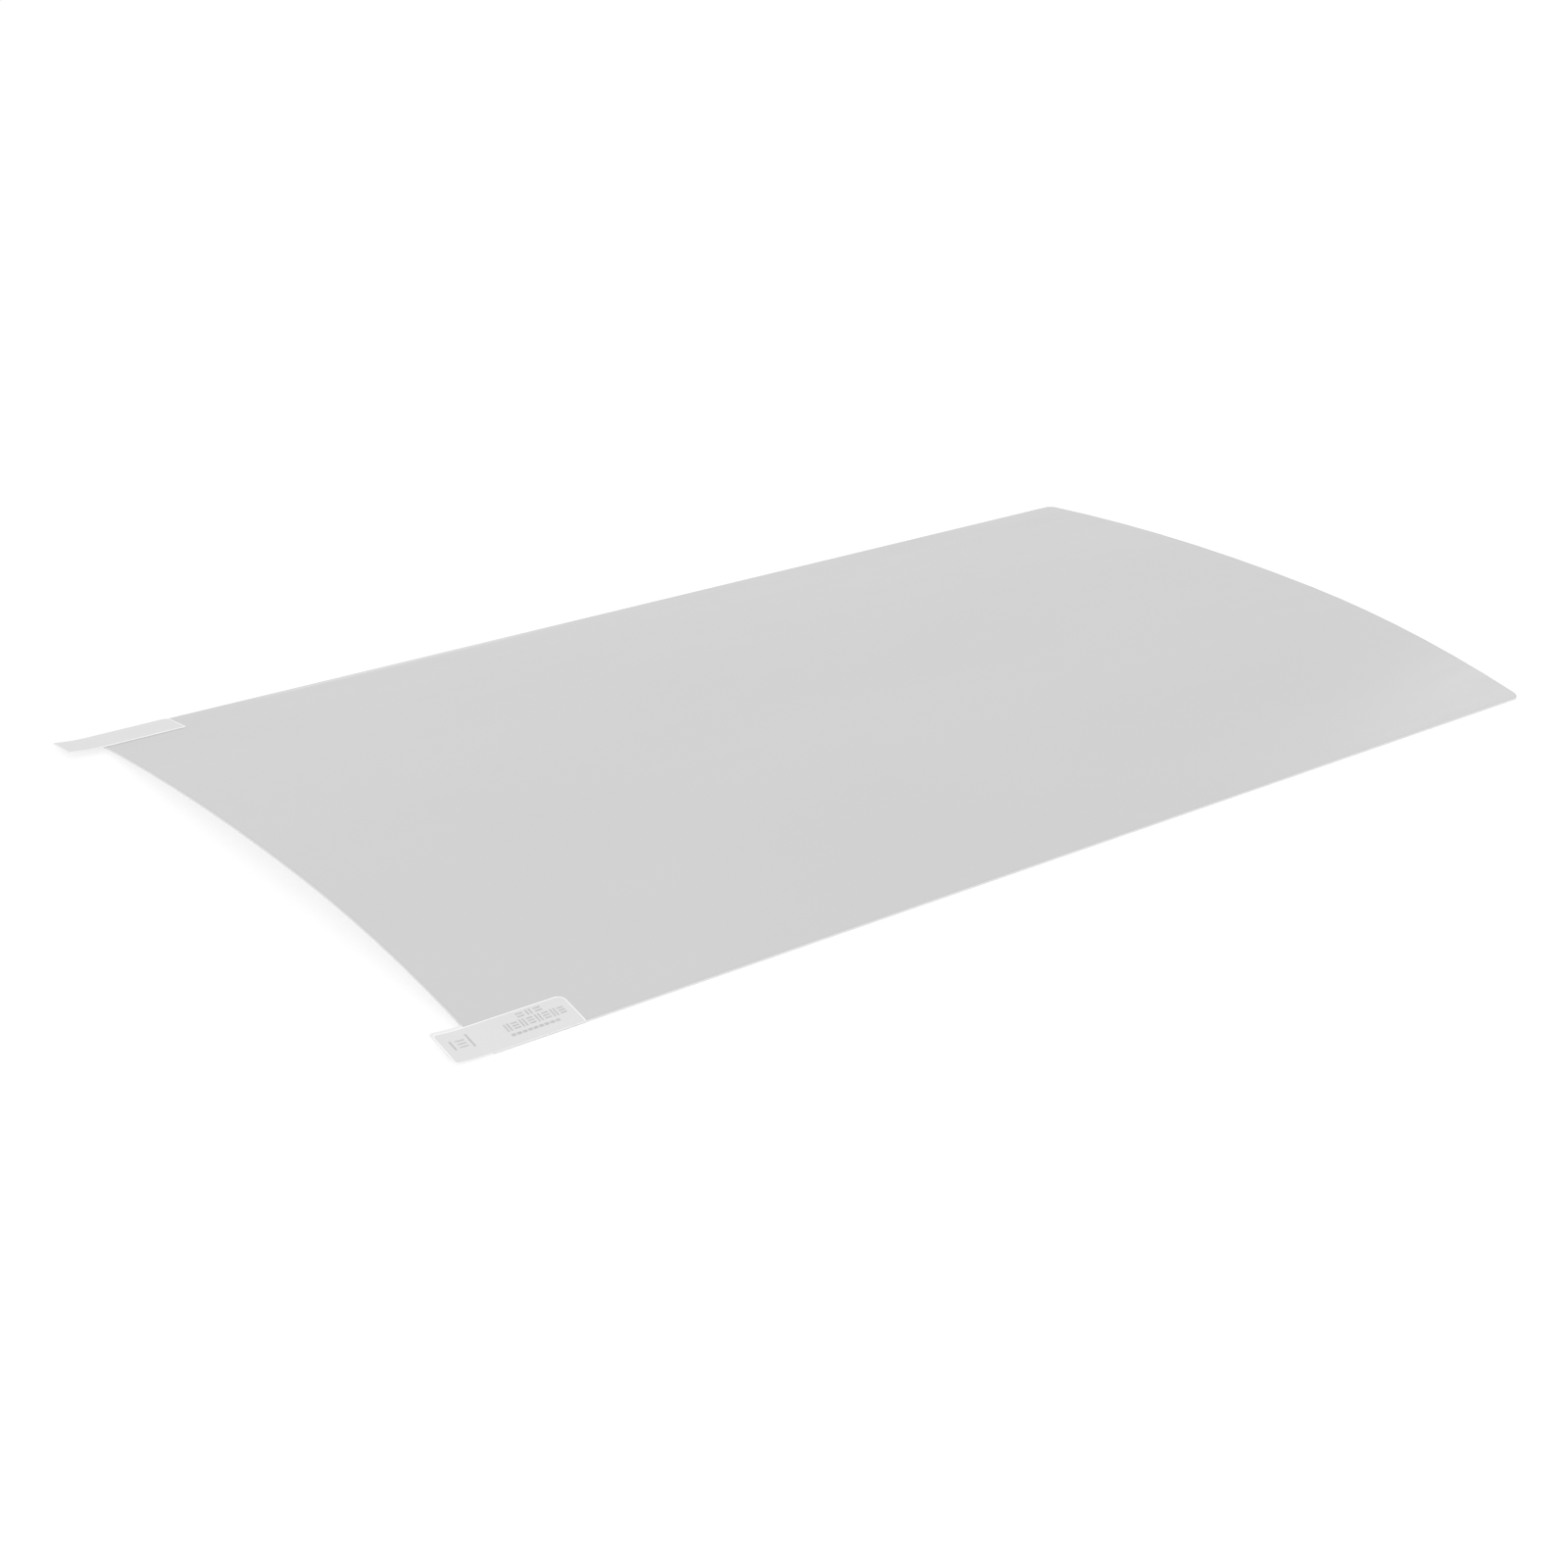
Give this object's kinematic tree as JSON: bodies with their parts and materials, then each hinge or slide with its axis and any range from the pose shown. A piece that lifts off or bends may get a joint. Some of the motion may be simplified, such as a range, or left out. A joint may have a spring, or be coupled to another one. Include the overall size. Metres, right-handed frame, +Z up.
{
  "type": "laptop screen protector",
  "caption": "Thin rectangular protective film for a laptop screen, bowed slightly upwards, with pull tabs over its left corners.",
  "frame": {"origin": "middle of the bounding box, on the surface that the sheet rests on", "axes": "+X along the sheet away from the end with the tabs, +Y from the near to the far long edge, +Z up out of the outer face"},
  "size_m": [0.3539, 0.1938, 0.0082],
  "materials": {
    "liner_film": "smooth satin",
    "screen_film": "smooth satin",
    "mask_film": "satin, softly reflecting",
    "tab_label": "matt white label film",
    "tab_backing": "matt white label film",
    "tab_print": "matt grey printing ink"
  },
  "bodies": {
    "root": {"release_liner": "liner_film", "screen_film": "screen_film", "top_mask": "mask_film", "near_pull_tab": "tab_label", "near_tab_backing": "tab_backing", "far_pull_tab": "tab_label"}
  },
  "joints": []
}
